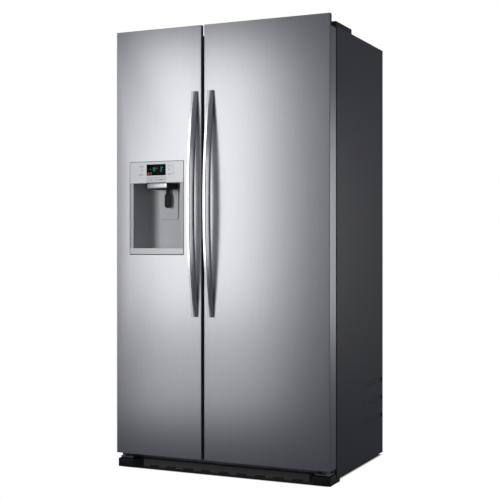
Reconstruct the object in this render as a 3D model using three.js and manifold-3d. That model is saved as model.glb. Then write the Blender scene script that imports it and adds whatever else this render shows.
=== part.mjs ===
// Side by side refrigerator with an ice and water dispenser: freezer on the left, fridge on the right.
// Millimetres, +Z up, +X to the right and -Y out of the doors. The origin is the middle of the floor area.
import * as THREE from 'three';
import { mergeVertices } from 'three/addons/utils/BufferGeometryUtils.js';
import Module from 'manifold-3d';

const wasm = await Module();
wasm.setup();

// ---- Overall sizes ----
const HALF_WIDTH = 454;
const DOOR_FRONT = -289;
const DOOR_DEPTH = 62.6;
const DOOR_BACK = DOOR_FRONT + DOOR_DEPTH;
const CABINET_FRONT = DOOR_FRONT + 74.5;
const CABINET_BACK = 344;
const MACHINE_COVER_BACK = 354;
const GLAND_BACK = 359;
const CABINET_BOTTOM = 21;
const CABINET_TOP = 1700;
const DOOR_BOTTOM = 58;
const DOOR_CAP_BOTTOM = 1690;
const DOOR_SHOULDER = 1696;
const DOOR_TOP = 1736;
const LIP_BACK = DOOR_FRONT + 17;
const FACE_BACK = DOOR_FRONT + 5;
const FREEZER_DOOR = [-HALF_WIDTH, -73.8];
const FRIDGE_DOOR = [-62.6, HALF_WIDTH];
const SHEET = 1.5;
const GAP = 0.3;

// ---- Cabinet interior ----
const FREEZER_ROOM = [-404, -93];
const FRIDGE_ROOM = [-43, 404];
const ROOM_FLOOR = 130;
const ROOM_CEILING = 1650;
const ROOM_BACK = 292;
const STEP_FRONT = 100;
const STEP_BACK = 130;
const STEP_TOP = 290;
const LINER_WALL = 2;
const FLANGE = 22;
const MULLION = -68;
const MACHINE_FRONT = 150;
const MACHINE_TOP = 262;
const BASE_TOP = 62;
const SHELF_FRONT = DOOR_FRONT + 186;
const SHELF_BACK = 258;
const SHELF = 8;

// ---- Hinges ----
const PIN_X = 434;
const PIN_Y = DOOR_FRONT + 30;
const PIN_RADIUS = 5;
const PIN_DEPTH = 22;
const PIN_BORE = 5.6;

// ---- Handles ----
const HANDLE_LOW = 610;
const HANDLE_HIGH = 1481;
const HANDLE_WIDTH = 25.5;
const HANDLE_X = { freezer: -101, fridge: -31.5 };
const HANDLE_REACH = 50;
const HANDLE_END_REACH = 8;
const HANDLE_DEPTH = 22;
const HANDLE_FOOT = 32;
const HANDLE_STEPS = 28;

// ---- Dispenser ----
const DISPENSER = [-391.7, -151.6];
const DISPENSER_Z = [850, 1215];
const PANEL_BOTTOM = 1131.6;
const DISPLAY_X = [-315.7, -230];
const DISPLAY_Z = [1161, 1204.6];
const KEY_Z = [1132.9, 1155.2];
const RECESS_FLOOR = 858;
const RECESS_DEPTH = 112;
const TRAY_LIP = [851.6, 874.4];
const TRAY_TOP = 872;
const TRAY_SLOTS = 8;
const TRAY_SLOT_START = -361.6;
const TRAY_SLOT_PITCH = 24;
const NOZZLE_X = (DISPLAY_X[0] + DISPLAY_X[1]) / 2;
const NOZZLE_Z = [1110.5, PANEL_BOTTOM - 1.2];
const NOZZLE_DEPTH = 9;
const LEVER_PIVOT = { y: DOOR_FRONT + 94, z: 1118 };
const PAD_HALF_WIDTH = 15;
const PAD_Z = [1035.5, 1094.5];

// ---- Finishes ----
const STEEL = { color: 0xb9bcbe, metalness: 0.9, roughness: 0.32 };
const GREY_PAINT = { color: 0x4b4d50, metalness: 0.3, roughness: 0.45 };
const ZINC = { color: 0x9ea3a6, metalness: 0.8, roughness: 0.5 };
const BLACK = { color: 0x161718, metalness: 0, roughness: 0.5 };
const DARK_PLASTIC = { color: 0x3f3a38, metalness: 0, roughness: 0.6 };
const SILVER = { color: 0xc9cbce, metalness: 0.4, roughness: 0.35 };
const WHITE = { color: 0xeef0f1, metalness: 0, roughness: 0.4 };
const CLEAR = { color: 0xd7e4e8, metalness: 0, roughness: 0.1, transparent: true, opacity: 0.4 };
const FOAM = { color: 0xe6d9a8, metalness: 0, roughness: 0.9 };
const RUBBER = { color: 0x2b2c2e, metalness: 0, roughness: 0.8 };
const COPPER = { color: 0xb36b3c, metalness: 0.9, roughness: 0.35 };

// ---- Shape helpers ----
// Straight steps in each quarter turn of an outline.
const COARSE = 2;
const FINE = 4;
const X = new THREE.Vector3(1, 0, 0);
const Y = new THREE.Vector3(0, 1, 0);
const Z = new THREE.Vector3(0, 0, 1);

// Turns a closed geometry into a solid that can be joined and cut.
function toSolid(geometry) {
  const bare = geometry.clone();
  bare.deleteAttribute('normal');
  bare.deleteAttribute('uv');
  const merged = mergeVertices(bare, 1e-3);
  return new wasm.Manifold(new wasm.Mesh({
    numProp: 3,
    vertProperties: new Float32Array(merged.attributes.position.array),
    triVerts: new Uint32Array(merged.index.array),
  }));
}

function box([x0, x1], [y0, y1], [z0, z1]) {
  const geometry = new THREE.BoxGeometry(x1 - x0, y1 - y0, z1 - z0);
  geometry.translate((x0 + x1) / 2, (y0 + y1) / 2, (z0 + z1) / 2);
  return toSolid(geometry);
}

function extrude(shape, length, curveSegments = COARSE) {
  return new THREE.ExtrudeGeometry(shape, { depth: length, bevelEnabled: false, curveSegments });
}

// An outline in X and Y, raised from z0 to z1.
function raise(shape, [z0, z1], curveSegments) {
  return toSolid(extrude(shape, z1 - z0, curveSegments).translate(0, 0, z0));
}

// An outline in Y and Z, run across from x0 to x1.
function across(shape, [x0, x1]) {
  const turn = new THREE.Matrix4().makeBasis(Y, Z, X);
  return toSolid(extrude(shape, x1 - x0).applyMatrix4(turn).translate(x0, 0, 0));
}

// An outline in X and Z, run back from y0 to y1.
function inward(shape, [y0, y1]) {
  const turn = new THREE.Matrix4().makeBasis(X, Z, Y.clone().negate());
  return toSolid(extrude(shape, y1 - y0).applyMatrix4(turn).translate(0, y1, 0));
}

// A cylinder between two values along one axis, centred on the two other coordinates.
function cylinder(axis, radius, [from, to], [a, b], sides = 20) {
  const geometry = new THREE.CylinderGeometry(radius, radius, to - from, sides);
  const middle = (from + to) / 2;
  if (axis === 'x') return toSolid(geometry.rotateZ(Math.PI / 2).translate(middle, a, b));
  if (axis === 'y') return toSolid(geometry.translate(a, middle, b));
  return toSolid(geometry.rotateX(Math.PI / 2).translate(a, b, middle));
}

function polygon(points) {
  return new THREE.Shape(points.map(([a, b]) => new THREE.Vector2(a, b)));
}

// A rectangle with rounded corners; radii are for its low side and its high side in the second axis.
function rounded([a0, a1], [b0, b1], lowRadius, highRadius = lowRadius) {
  const shape = new THREE.Shape();
  const corners = [
    [a0 + lowRadius, b0 + lowRadius, lowRadius, Math.PI],
    [a1 - lowRadius, b0 + lowRadius, lowRadius, Math.PI * 1.5],
    [a1 - highRadius, b1 - highRadius, highRadius, 0],
    [a0 + highRadius, b1 - highRadius, highRadius, Math.PI / 2],
  ];
  for (const [a, b, radius, start] of corners) {
    if (radius > 0) shape.absarc(a, b, radius, start, start + Math.PI / 2, false);
    else if (shape.curves.length || start !== Math.PI) shape.lineTo(a, b);
    else shape.moveTo(a, b);
  }
  shape.closePath();
  return shape;
}

const grow = ([low, high], by) => [low - by, high + by];
const sided = (side, low, high) => (side > 0 ? [low, high] : [-high, -low]);
const joinAll = (solids) => solids.reduce((sum, next) => sum.add(next));
const cutAll = (solid, cutters) => cutters.reduce((left, next) => left.subtract(next), solid);

function part(name, solid, finish) {
  const { vertProperties, triVerts } = solid.getMesh();
  const geometry = new THREE.BufferGeometry();
  geometry.setAttribute('position', new THREE.BufferAttribute(vertProperties, 3));
  geometry.setIndex(new THREE.BufferAttribute(triVerts, 1));
  const mesh = new THREE.Mesh(geometry, new THREE.MeshStandardMaterial(finish));
  mesh.name = name;
  return mesh;
}

function group(...members) {
  const result = new THREE.Group();
  result.add(...members);
  return result;
}

// An open-topped tray, drawer or bin with walls of one thickness.
function tub(xs, ys, zs, wall) {
  return box(xs, ys, zs).subtract(box(grow(xs, -wall), grow(ys, -wall), [zs[0] + wall, zs[1] + 1]));
}

// ---- Cabinet shell ----
const RIB_HEIGHTS = [178, 252, 327];
const RIB_DEPTH = 4;
const RIB_Y = [72, 338];
const RIB_RADIUS = 9;
const FOOT_NOTCH_TOP = 35;

// The dents pressed into both sides of the wrapper, deepened and widened by an allowance.
function ribDents(outside, depth, allowance) {
  return RIB_HEIGHTS.flatMap((z) => [-1, 1].map((side) => across(
    rounded(grow(RIB_Y, allowance), [z - RIB_RADIUS - allowance, z + RIB_RADIUS + allowance],
      RIB_RADIUS),
    sided(side, HALF_WIDTH - depth, HALF_WIDTH + outside),
  )));
}

function cabinetWrapper() {
  const outer = box([-HALF_WIDTH, HALF_WIDTH], [CABINET_FRONT, CABINET_BACK], [CABINET_BOTTOM, CABINET_TOP]);
  const inner = box(
    [SHEET - HALF_WIDTH, HALF_WIDTH - SHEET],
    [CABINET_FRONT + SHEET, CABINET_BACK + 1],
    [CABINET_BOTTOM - 1, CABINET_TOP - SHEET],
  );
  const opening = box(
    [FLANGE - HALF_WIDTH, HALF_WIDTH - FLANGE],
    [CABINET_FRONT - 1, CABINET_FRONT + SHEET + 1],
    [CABINET_BOTTOM - 1, CABINET_TOP - FLANGE],
  );
  const footNotch = box(
    [SHEET - HALF_WIDTH, HALF_WIDTH - SHEET],
    [CABINET_FRONT - 1, CABINET_FRONT + SHEET + 1],
    [CABINET_BOTTOM - 1, FOOT_NOTCH_TOP],
  );
  const walls = cutAll(outer, [inner, opening, footNotch]);
  const shell = joinAll([walls, ...ribDents(0, RIB_DEPTH + SHEET, 1)]);
  return part('cabinet_wrapper', cutAll(shell, ribDents(1, RIB_DEPTH, 0)), GREY_PAINT);
}

const BEAD_X = [-300, 0, 300];
const BEAD_HALF_WIDTH = 9;
const BEAD_Z = [340, 1620];

function backPanel() {
  const inside = HALF_WIDTH - SHEET - GAP;
  const sheetZ = [MACHINE_TOP, CABINET_TOP - 2];
  const sheet = box([-inside, inside], [CABINET_BACK - 2, CABINET_BACK - 0.5], sheetZ);
  const beadY = [CABINET_BACK - 1, CABINET_BACK + 2.5];
  const beads = BEAD_X.map((x) => box(grow([x, x], BEAD_HALF_WIDTH), beadY, BEAD_Z));
  return part('back_panel', joinAll([sheet, ...beads]), ZINC);
}

// The outline of a room in Y and Z, thickened outwards by a wall.
function roomOutline(wall, front) {
  return polygon([
    [front, ROOM_FLOOR - wall],
    [STEP_FRONT + wall, ROOM_FLOOR - wall],
    [STEP_BACK + wall, STEP_TOP - wall],
    [ROOM_BACK + wall, STEP_TOP - wall],
    [ROOM_BACK + wall, ROOM_CEILING + wall],
    [front, ROOM_CEILING + wall],
  ]);
}

function roomSolid(room, wall, front = CABINET_FRONT) {
  return across(roomOutline(wall, front), grow(room, wall));
}

const FREEZER_SHELVES = { freezer_shelf_upper: 1310, freezer_shelf_lower: 704 };
const FRIDGE_SHELVES = { fridge_shelf_upper: 1300, fridge_shelf_lower: 930 };
const CRISPER_COVER_Z = 560;
const FREEZER_DRAWERS = { freezer_drawer_upper: [424, 688], freezer_drawer_lower: [139, 400] };
const CRISPERS = { crisper_drawer_upper: [356, 548], crisper_drawer_lower: [139, 330] };
const RAIL_WIDTH = 7;
const RAIL_HEIGHT = 9;
const DEEP_DRAWER_BACK = 248;
const SHORT_DRAWER_BACK = 92;

const drawerBack = ([bottom]) => (bottom < STEP_TOP ? SHORT_DRAWER_BACK : DEEP_DRAWER_BACK);

// A pair of moulded rails that a shelf or drawer rests on.
function rails(room, z, back) {
  const ys = [SHELF_FRONT + 12, back];
  const zs = [z - RAIL_HEIGHT, z - GAP];
  return [box([room[0] - 1, room[0] + RAIL_WIDTH], ys, zs), box([room[1] - RAIL_WIDTH, room[1] + 1], ys, zs)];
}

function liner(name, room, flangeX, shelfHeights, drawers, finish) {
  const flangeZ = [BASE_TOP, CABINET_TOP - FLANGE - GAP];
  const flange = box(flangeX, [CABINET_FRONT, CABINET_FRONT + LINER_WALL], flangeZ);
  const shell = roomSolid(room, LINER_WALL).add(flange).subtract(roomSolid(room, 0, CABINET_FRONT - 1));
  const shelfRails = shelfHeights.flatMap((z) => rails(room, z, SHELF_BACK));
  const drawerRails = drawers
    .filter(([bottom]) => bottom > STEP_TOP)
    .flatMap((zs) => rails(room, zs[0], drawerBack(zs)));
  return part(name, joinAll([shell, ...shelfRails, ...drawerRails]), finish);
}

const MACHINE_ROOM = [
  [-HALF_WIDTH, HALF_WIDTH],
  [MACHINE_FRONT, CABINET_BACK + 1],
  [0, MACHINE_TOP - GAP],
];

function insulationFoam() {
  const inside = HALF_WIDTH - SHEET - GAP;
  const bulk = box(
    [-inside, inside],
    [CABINET_FRONT + LINER_WALL + GAP, CABINET_BACK - 2 - GAP],
    [BASE_TOP, CABINET_TOP - SHEET - GAP],
  );
  const cutters = [
    roomSolid(FREEZER_ROOM, LINER_WALL + GAP),
    roomSolid(FRIDGE_ROOM, LINER_WALL + GAP),
    box(...MACHINE_ROOM),
    ...ribDents(1, RIB_DEPTH + SHEET + GAP, 1 + GAP),
  ];
  return part('insulation_foam', cutAll(bulk, cutters), FOAM);
}

// ---- Base, feet and rollers ----
const BASE_X = HALF_WIDTH - SHEET - 1;
const LEG_X = 412;
const LEG_Y = -246;
const LEG_STEM = 5;
const ROLLER_Y = 292;
const ROLLER_RADIUS = 20;
const ROLLER_X = [402, 424];
const AXLE_RADIUS = 3.2;
const FORK_WALL = 3;
const HINGE_PLATE = [38, 42];

const TRAY_BOTTOM = 24;
const TRAY_SHEET = 3;
const DECK_BOTTOM = 52;
const FORK_DEPTH = 14;
const WELL_DEPTH = 23;
const ROLLER_CENTRE = [ROLLER_Y, ROLLER_RADIUS];

function rollerForks() {
  return [-1, 1].flatMap((side) => {
    const walls = [ROLLER_X[0] - FORK_WALL - 1, ROLLER_X[1] + 1].map((x) => box(
      sided(side, x, x + FORK_WALL), grow([ROLLER_Y, ROLLER_Y], FORK_DEPTH), [10, 30]));
    const boreX = sided(side, ROLLER_X[0] - 12, ROLLER_X[1] + 12);
    const bore = cylinder('x', AXLE_RADIUS + 0.4, boreX, ROLLER_CENTRE, 12);
    return walls.map((wall) => wall.subtract(bore));
  });
}

function baseFrame() {
  const railX = HALF_WIDTH - FLANGE - 0.6;
  const riserBack = MACHINE_FRONT - 28;
  const riserFront = riserBack - TRAY_SHEET;
  const deckZ = [DECK_BOTTOM, BASE_TOP - 0.5];
  const frontRail = box([-railX, railX], [CABINET_FRONT, CABINET_FRONT + 22], [TRAY_BOTTOM, BASE_TOP - 0.5]);
  const deck = box([-BASE_X, BASE_X], [CABINET_FRONT + 20, riserBack], deckZ);
  const riser = box([-BASE_X, BASE_X], [riserFront, riserBack], [TRAY_BOTTOM, BASE_TOP - 2]);
  const trayZ = [TRAY_BOTTOM, TRAY_BOTTOM + TRAY_SHEET];
  const tray = box([-BASE_X, BASE_X], [riserFront, CABINET_BACK - 3], trayZ);
  const wells = [-1, 1].map((side) => box(
    sided(side, ROLLER_X[0] - 1, ROLLER_X[1] + 1), grow([ROLLER_Y, ROLLER_Y], WELL_DEPTH), grow(trayZ, 3)));
  const frame = cutAll(joinAll([frontRail, deck, riser, tray]), wells);
  return part('base_frame', joinAll([frame, ...rollerForks()]), ZINC);
}

function roller(name, side) {
  const wheel = cylinder('x', ROLLER_RADIUS, sided(side, ...ROLLER_X), ROLLER_CENTRE, 32);
  const axle = cylinder('x', AXLE_RADIUS, sided(side, ...grow(ROLLER_X, 4)), ROLLER_CENTRE, 12);
  return part(name, wheel.add(axle), BLACK);
}

function levelingLeg(name, side) {
  const at = [side * LEG_X, LEG_Y];
  const pad = cylinder('z', 17, [0, 8], at, 24);
  const nut = cylinder('z', 10, [8, 15], at, 6);
  const stem = cylinder('z', LEG_STEM, [8, 53], at, 16);
  return part(name, joinAll([pad, nut, stem]), ZINC);
}

const COVER_FRONT = DOOR_FRONT + 10;
const COVER_OUTER = 451.5;
const COVER_KNEE = 386;
const COVER_INNER = 356.5;
const GRILLE_FRONT = DOOR_FRONT + 45;
const COVER_Z = [1, 34];
const COVER_BACK = DOOR_FRONT + 114;

function footCover(name, side) {
  const flip = ([x, y]) => [side * x, y];
  const rail = CABINET_FRONT - 4.5;
  const outer = [
    [COVER_INNER, GRILLE_FRONT], [COVER_KNEE, COVER_FRONT], [COVER_OUTER, COVER_FRONT],
    [COVER_OUTER, COVER_BACK], [COVER_OUTER - 2.5, COVER_BACK], [COVER_OUTER - 2.5, rail],
    [COVER_INNER, rail],
  ];
  const inner = [
    [COVER_INNER + 2.5, GRILLE_FRONT + 1], [COVER_KNEE + 1.2, COVER_FRONT + 2.5],
    [COVER_OUTER - 2.5, COVER_FRONT + 2.5], [COVER_OUTER - 2.5, rail + 1], [COVER_INNER + 2.5, rail + 1],
  ];
  const shell = raise(polygon(outer.map(flip)), COVER_Z)
    .subtract(raise(polygon(inner.map(flip)), [COVER_Z[0] - 1, COVER_Z[1] - 2.5]))
    .subtract(cylinder('z', LEG_STEM + 4, [20, 40], [side * LEG_X, LEG_Y], 20));
  return part(name, shell, DARK_PLASTIC);
}

const GRILLE_Z = [3, 33];
const NOTCHES = 9;
const NOTCH_PITCH = 77;
const NOTCH_HALF_WIDTH = 22.5;
const NOTCH_TOP = 10.5;

function toeGrille() {
  const half = COVER_INNER - 1;
  const face = box([-half, half], [GRILLE_FRONT, GRILLE_FRONT + 4], GRILLE_Z);
  const shelf = box([-half, half], [GRILLE_FRONT, CABINET_FRONT - 0.5], [GRILLE_Z[1] - 3, GRILLE_Z[1]]);
  const notches = [...Array(NOTCHES)].map((_, i) => {
    const x = (i - (NOTCHES - 1) / 2) * NOTCH_PITCH;
    const outline = rounded(grow([x, x], NOTCH_HALF_WIDTH), [GRILLE_Z[0] - 9, NOTCH_TOP], 3);
    return inward(outline, [GRILLE_FRONT - 1, GRILLE_FRONT + 5]);
  });
  return part('toe_grille', cutAll(face.add(shelf), notches), DARK_PLASTIC);
}

// ---- Door hinges ----
// Places an outline given from the hinge pin: outboard, then backwards.
function fromPin(side, points) {
  return polygon(points.map(([out, back]) => [side * (PIN_X + out), PIN_Y + back]));
}

function upperHinge(name, side) {
  const zs = [CABINET_TOP + 0.4, CABINET_TOP + 4];
  const pin = [side * PIN_X, PIN_Y];
  const arm = fromPin(side, [[-5.5, 0], [-5.5, 47], [6, 47], [6, 150], [-84, 150], [-84, 60], [-8, 0]]);
  const screws = [[-20, 80], [-20, 130], [-65, 105]].map(([out, back]) => cylinder(
    'z', 6.5, [CABINET_TOP + 3, CABINET_TOP + 8], [side * (PIN_X + out), PIN_Y + back], 12));
  return part(name, joinAll([
    raise(arm, zs),
    cylinder('z', 9, zs, pin),
    cylinder('z', PIN_RADIUS, [DOOR_SHOULDER - PIN_DEPTH + 2, CABINET_TOP + 4], pin),
    ...screws,
  ]), ZINC);
}

const HINGE_COVER_REACH = 218;
const HINGE_COVER_HEIGHT = 20;

function hingeCover(name, side) {
  const outline = (by) => {
    const rear = HINGE_COVER_REACH + by;
    return [[-4.7 + by, 0], [-4.7 + by, 46.5 - by], [14 + by, 46.5 - by], [14 + by, rear],
      [-132 - by, rear], [-132 - by, 62 - by], [-9.6 - by, -2]];
  };
  const pin = [side * PIN_X, PIN_Y];
  const body = (by, zs) => raise(fromPin(side, outline(by)), zs).add(cylinder('z', 9.6 + by, zs, pin, 24));
  const outer = body(2, [CABINET_TOP + GAP, CABINET_TOP + HINGE_COVER_HEIGHT]);
  const inner = body(0, [CABINET_TOP - 1, CABINET_TOP + HINGE_COVER_HEIGHT - 2]);
  return part(name, outer.subtract(inner), BLACK);
}

function lowerHinge(name, side) {
  const pin = [side * PIN_X, PIN_Y];
  const plate = box(sided(side, 388, 446), [PIN_Y - 12, CABINET_FRONT - GAP], HINGE_PLATE);
  const flange = box(sided(side, 388, 446), [CABINET_FRONT - 3.5, CABINET_FRONT - GAP], [33, 57]);
  const legHole = cylinder('z', LEG_STEM + 0.4, [30, 50], [side * LEG_X, LEG_Y]);
  return part(name, joinAll([
    plate.add(flange).subtract(legHole),
    cylinder('z', 9, [40, DOOR_BOTTOM - 0.5], pin),
    cylinder('z', PIN_RADIUS, [40, DOOR_BOTTOM + PIN_DEPTH - 6], pin),
  ]), ZINC);
}

// ---- Cooling machinery ----
const COMPRESSOR_AT = [300, 248, 34];
const FAN_AT = [120, 250, 135];
const FAN_RADIUS = 72;

function compressor() {
  const profile = [[0, 0], [58, 0], [74, 14], [78, 60], [76, 110], [62, 145], [34, 162], [0, 166]];
  const points = profile.map(([radius, height]) => new THREE.Vector2(radius, height));
  const shell = toSolid(new THREE.LatheGeometry(points, 28).rotateX(Math.PI / 2));
  const feet = box([-92, 92], [-62, 62], [-6, 3]);
  const terminal = box([-97, -60], [-24, 24], [52, 96]);
  const mesh = part('compressor', joinAll([shell, feet, terminal]), BLACK);
  mesh.position.set(...COMPRESSOR_AT);
  return mesh;
}

// A coil with plate fins: fins across, joined by the tubes that run through them.
function finnedCoil(name, xs, ys, zs, count, tubeRadius) {
  const pitch = (xs[1] - xs[0]) / (count - 1);
  const fins = [...Array(count)].map((_, i) => {
    const x = xs[0] + i * pitch;
    return box(grow([x, x], 0.8), ys, zs);
  });
  const rows = [0.25, 0.75].map((t) => zs[0] + t * (zs[1] - zs[0]));
  const depth = (ys[0] + ys[1]) / 2;
  const tubes = rows.map((z) => cylinder('x', tubeRadius, grow(xs, 6), [depth, z], 6));
  return part(name, joinAll([...fins, ...tubes]), COPPER);
}

function condenserFan() {
  const hub = cylinder('x', 17, [-12, 12], [0, 0], 20);
  const blades = [...Array(5)].map((_, i) => {
    const blade = new THREE.BoxGeometry(2.5, 40, FAN_RADIUS - 12);
    blade.rotateZ(0.6);
    blade.translate(0, 0, 12 + (FAN_RADIUS - 12) / 2);
    return toSolid(blade.rotateX((i * 2 * Math.PI) / 5));
  });
  const mesh = part('condenser_fan', joinAll([hub, ...blades]), BLACK);
  mesh.position.set(...FAN_AT);
  return mesh;
}

function fanShroud() {
  const [x, y, z] = FAN_AT;
  const plate = box([x + 22, x + 25], [y - 88, y + 88], [28, z + 88]);
  const mouth = cylinder('x', FAN_RADIUS + 4, [x + 10, x + 30], [y, z], 32);
  const spokes = [0, Math.PI / 2].map((turn) => {
    const bar = new THREE.BoxGeometry(3, 12, 2 * FAN_RADIUS + 20);
    return toSolid(bar.rotateX(turn).translate(x + 23.5, y, z));
  });
  const motor = cylinder('x', 19, [x + 14, x + 34], [y, z], 20);
  return part('fan_shroud', joinAll([plate.subtract(mouth), ...spokes, motor]), ZINC);
}

const COVER_HALF = 446;
const COVER_FLANGE = 6;
const COVER_SHEET = 2;
const SLOT_X = [-330, -262, -194, -126, 126, 194, 262, 330];
const SLOT_Z = [80, 150];
const SLOT_HALF_WIDTH = 24;
const GLAND = [-400, 220];
const GLAND_RADIUS = 10;

function machineCover() {
  const ys = [CABINET_BACK + GAP, MACHINE_COVER_BACK];
  const zs = [30, MACHINE_TOP - 2];
  const xs = [-COVER_HALF, COVER_HALF];
  const hollow = box(grow(xs, -COVER_FLANGE), [ys[0] - 1, ys[1] - COVER_SHEET], grow(zs, -COVER_FLANGE));
  const through = [ys[0], ys[1] + 1];
  const slots = SLOT_X.flatMap((x) => SLOT_Z.map((z) => inward(
    rounded(grow([x, x], SLOT_HALF_WIDTH), [z, z + 9], 4), through)));
  const glandBore = cylinder('y', GLAND_RADIUS + 0.4, through, GLAND, 20);
  return part('machine_cover', cutAll(box(xs, ys, zs), [hollow, ...slots, glandBore]), ZINC);
}

function powerGland() {
  const sleeve = cylinder('y', GLAND_RADIUS, [CABINET_BACK + 2, GLAND_BACK], GLAND, 20);
  const collar = cylinder('y', GLAND_RADIUS + 4, [MACHINE_COVER_BACK + GAP, GLAND_BACK - 1], GLAND, 20);
  const bore = cylinder('y', GLAND_RADIUS / 2, [CABINET_BACK, GLAND_BACK + 1], GLAND, 16);
  return part('power_gland', sleeve.add(collar).subtract(bore), BLACK);
}

// ---- Inside the freezer and the fridge ----
const COVER_Y = SHELF_BACK + 4;
const VENT_HEIGHT = 8;
const VENT_RADIUS = 3.5;
const EVAPORATOR_VENTS = [1560, 1585, 1610];
const DUCT_X = [105, 256];
const DUCT_Z = [600, 1630];
const DUCT_WALL = 4;
const DUCT_VENTS = [700, 930, 1190, 1480];

// A slot through the air panels' faces.
function vent(xs, z) {
  return inward(rounded(xs, [z, z + VENT_HEIGHT], VENT_RADIUS), [COVER_Y - 2, COVER_Y + 6]);
}

function evaporatorCover() {
  const xs = grow(FREEZER_ROOM, -1);
  const zs = [STEP_TOP + 3, ROOM_CEILING - 3];
  const face = box(xs, [COVER_Y, COVER_Y + 3], zs);
  const edges = [[xs[0], xs[0] + 3], [xs[1] - 3, xs[1]]];
  const returns = edges.map((edge) => box(edge, [COVER_Y, ROOM_BACK - 1], zs));
  const vents = EVAPORATOR_VENTS.map((z) => vent(grow(xs, -50), z));
  return part('evaporator_cover', cutAll(joinAll([face, ...returns]), vents), WHITE);
}

function airDuctPanel() {
  const shell = box(DUCT_X, [COVER_Y, ROOM_BACK - 1], DUCT_Z).subtract(
    box(grow(DUCT_X, -DUCT_WALL), [COVER_Y + DUCT_WALL, ROOM_BACK], grow(DUCT_Z, -DUCT_WALL)));
  const vents = DUCT_VENTS.flatMap((z) => [0, 18, 36].map((step) => vent(grow(DUCT_X, -30), z + step)));
  return part('air_duct_panel', cutAll(shell, vents), WHITE);
}

function glassShelf(name, room, z, back) {
  const xs = grow(room, -1.5);
  const slab = box(xs, [SHELF_FRONT, back], [z, z + SHELF - 2]);
  const trim = box(xs, [SHELF_FRONT, SHELF_FRONT + 10], [z, z + SHELF + 3]);
  return part(name, slab.add(trim), CLEAR);
}

function drawer(name, room, zs) {
  const xs = grow(room, -10);
  const back = drawerBack(zs);
  const body = tub(xs, [SHELF_FRONT + 2, back], zs, 3);
  const middle = (xs[0] + xs[1]) / 2;
  const grip = box([middle - 60, middle + 60], [SHELF_FRONT - 8, SHELF_FRONT + 3], [zs[1] - 34, zs[1] - 26]);
  return part(name, body.add(grip), CLEAR);
}

function iceBucket() {
  const xs = grow(FREEZER_ROOM, -24);
  const bottom = FREEZER_SHELVES.freezer_shelf_upper + 12;
  return part('ice_bucket', tub(xs, [SHELF_FRONT + 12, 200], [bottom, bottom + 136], 3), WHITE);
}

function iceMaker() {
  const xs = grow(FREEZER_ROOM, -34);
  const mould = tub(xs, [-20, 180], [1500, 1560], 4);
  const motor = box([xs[0], xs[1]], [-62, -19], [1490, 1580]);
  const hangers = [-10, 150].map((y) => box([xs[0], xs[0] + 12], [y, y + 20], [1555, ROOM_CEILING - 0.5]));
  return part('ice_maker', joinAll([mould, motor, ...hangers]), WHITE);
}

// ---- Doors ----
const GASKET = [DOOR_BACK + GAP, CABINET_FRONT - GAP];
const GASKET_Z = [84, 1670];
const GASKET_WIDTH = 13;
const EDGE_RADIUS = 3;
const CORE_FRONT = DOOR_FRONT + SHEET + GAP;
const CORE_RADIUS = EDGE_RADIUS - SHEET - GAP;
const DYKE_BACK = DOOR_FRONT + 105;
const DYKE_Z = [150, 1630];
const DYKE = 15;

function doorPinBores(side) {
  const pin = [side * PIN_X, PIN_Y];
  return [
    cylinder('z', PIN_BORE, [DOOR_BOTTOM - 1, DOOR_BOTTOM + PIN_DEPTH], pin),
    cylinder('z', PIN_BORE, [DOOR_SHOULDER - PIN_DEPTH, DOOR_SHOULDER + 1], pin),
  ];
}

// The steel face, folded back round both sides and the bottom of a door.
function doorSkin(name, xs, side, cutters) {
  const outline = rounded(xs, [DOOR_FRONT, DOOR_BACK], EDGE_RADIUS, 0);
  const body = raise(outline, [DOOR_BOTTOM, DOOR_CAP_BOTTOM], FINE);
  const hollow = raise(
    rounded(grow(xs, -SHEET), [DOOR_FRONT + SHEET, DOOR_BACK + 1], EDGE_RADIUS - SHEET, 0),
    [DOOR_BOTTOM + SHEET, DOOR_TOP + 1],
    FINE,
  );
  const face = raise(rounded(xs, [DOOR_FRONT, FACE_BACK], EDGE_RADIUS, 0), [DOOR_BOTTOM, DOOR_TOP], FINE);
  const skin = body.add(face).subtract(hollow);
  return part(name, cutAll(skin, [...doorPinBores(side), ...cutters]), STEEL);
}

// The plastic cap along the top of a door, with a lip behind the steel face.
function doorCap(name, xs, side) {
  const inside = grow(xs, -SHEET - GAP);
  const plate = box(inside, [CORE_FRONT, DOOR_BACK], [DOOR_CAP_BOTTOM + GAP, DOOR_SHOULDER]);
  const ends = box(xs, [FACE_BACK + GAP, DOOR_BACK], [DOOR_CAP_BOTTOM + GAP, DOOR_SHOULDER]);
  const lipOutline = rounded(inside, [CORE_FRONT, LIP_BACK], CORE_RADIUS, 0);
  const lipZ = [DOOR_CAP_BOTTOM + GAP, DOOR_TOP - 0.5];
  const lip = raise(lipOutline, lipZ, FINE).add(box(xs, [FACE_BACK + GAP, LIP_BACK], lipZ));
  const frontCut = box(grow(xs, 1), [CORE_FRONT - 1, LIP_BACK], [DOOR_CAP_BOTTOM, DOOR_SHOULDER + 1]);
  const solid = plate.add(ends).subtract(frontCut).add(lip);
  return part(name, cutAll(solid, doorPinBores(side)), BLACK);
}

// The foamed core with its inner liner and the raised frame that carries the bins.
function doorLiner(name, xs, side, dykeX, extras, cutters) {
  const core = raise(
    rounded(grow(xs, -SHEET - GAP), [CORE_FRONT, DOOR_BACK], CORE_RADIUS, 0),
    [DOOR_BOTTOM + SHEET + GAP, DOOR_CAP_BOTTOM - GAP],
    FINE,
  );
  const dyke = box(dykeX, [DOOR_BACK - 1, DYKE_BACK], DYKE_Z).subtract(
    box(grow(dykeX, -DYKE), [DOOR_BACK - 2, DYKE_BACK + 1], grow(DYKE_Z, -DYKE)));
  return part(name, cutAll(joinAll([core, dyke, ...extras]), [...doorPinBores(side), ...cutters]), WHITE);
}

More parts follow.
